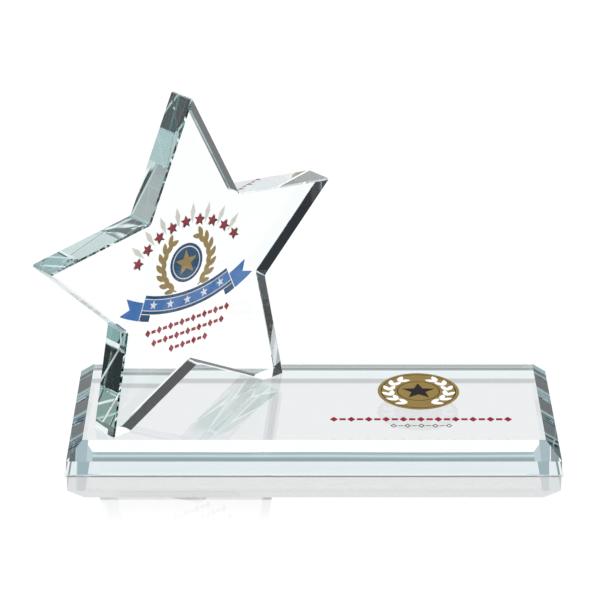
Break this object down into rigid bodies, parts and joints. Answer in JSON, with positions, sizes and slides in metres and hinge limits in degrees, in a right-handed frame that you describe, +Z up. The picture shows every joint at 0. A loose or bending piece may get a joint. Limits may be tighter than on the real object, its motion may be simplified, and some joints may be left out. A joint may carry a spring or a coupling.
{
  "type": "star trophy",
  "caption": "Clear glass five-point star bonded by two flat-cut feet to a bevelled rectangular glass base, with colour-printed award emblems, for standing on a shelf or desk.",
  "frame": {"origin": "centre of the base's underside", "axes": "+X to the right along the base's long side, +Z up, -Y towards the front of the base; the star's front face looks towards -Y and +X"},
  "size_m": [0.2397, 0.1195, 0.169],
  "materials": {
    "clear_glass": "polished clear glass with a faint jade tint along thick edges",
    "clear_adhesive": "clear ultraviolet-cured adhesive film",
    "gold_ink": "satin metallic-gold printed ink",
    "navy_ink": "printed ink",
    "blue_ink": "printed ink",
    "white_ink": "printed ink",
    "red_ink": "printed ink",
    "black_ink": "printed ink",
    "cream_ink": "pale printed ink",
    "grey_ink": "printed ink"
  },
  "bodies": {
    "root": {"base_plate": "clear_glass", "star_body": "clear_glass", "left_foot_adhesive": "clear_adhesive", "right_foot_adhesive": "clear_adhesive", "star_print_gold": "gold_ink", "star_print_navy": "navy_ink", "star_print_blue": "blue_ink", "star_print_white": "white_ink", "star_print_red": "red_ink", "star_print_black": "black_ink", "star_print_cream": "cream_ink", "base_print_gold": "gold_ink", "base_print_white": "white_ink", "base_print_black": "black_ink", "base_print_red": "red_ink", "base_print_grey": "grey_ink"}
  },
  "joints": []
}
